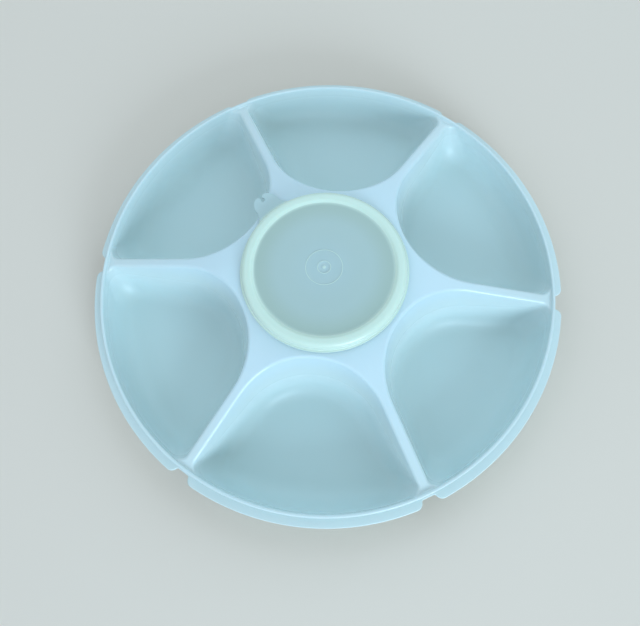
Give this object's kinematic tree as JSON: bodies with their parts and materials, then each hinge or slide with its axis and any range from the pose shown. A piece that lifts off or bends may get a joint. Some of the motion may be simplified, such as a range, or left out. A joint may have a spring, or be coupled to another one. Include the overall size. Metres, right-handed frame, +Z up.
{
  "type": "chip and dip server",
  "caption": "Round divided serving tray with a lift-out covered dip bowl in its middle.",
  "frame": {"origin": "on the table under the middle of the tray, at the foot of its vertical axis", "axes": "+Z up along the tray's axis; +X along one of the six dividers; the seal's tab points to 135 degrees from +X"},
  "size_m": [0.3294, 0.33, 0.0609],
  "materials": {
    "tray_plastic": "satin",
    "bowl_plastic": "satin",
    "seal_plastic": "satin"
  },
  "bodies": {
    "tray": {"tray": "tray_plastic"},
    "dip_bowl": {"dip_bowl": "bowl_plastic"},
    "dip_bowl_seal": {"dip_bowl_seal": "seal_plastic"}
  },
  "joints": [
    {"name": "bowl_lift", "type": "slide", "parent": "tray", "child": "dip_bowl", "axis": [0, 0, 1], "range_m": [0, 0.07]},
    {"name": "seal_lift", "type": "slide", "parent": "dip_bowl", "child": "dip_bowl_seal", "axis": [0, 0, 1], "range_m": [0, 0.03]}
  ]
}
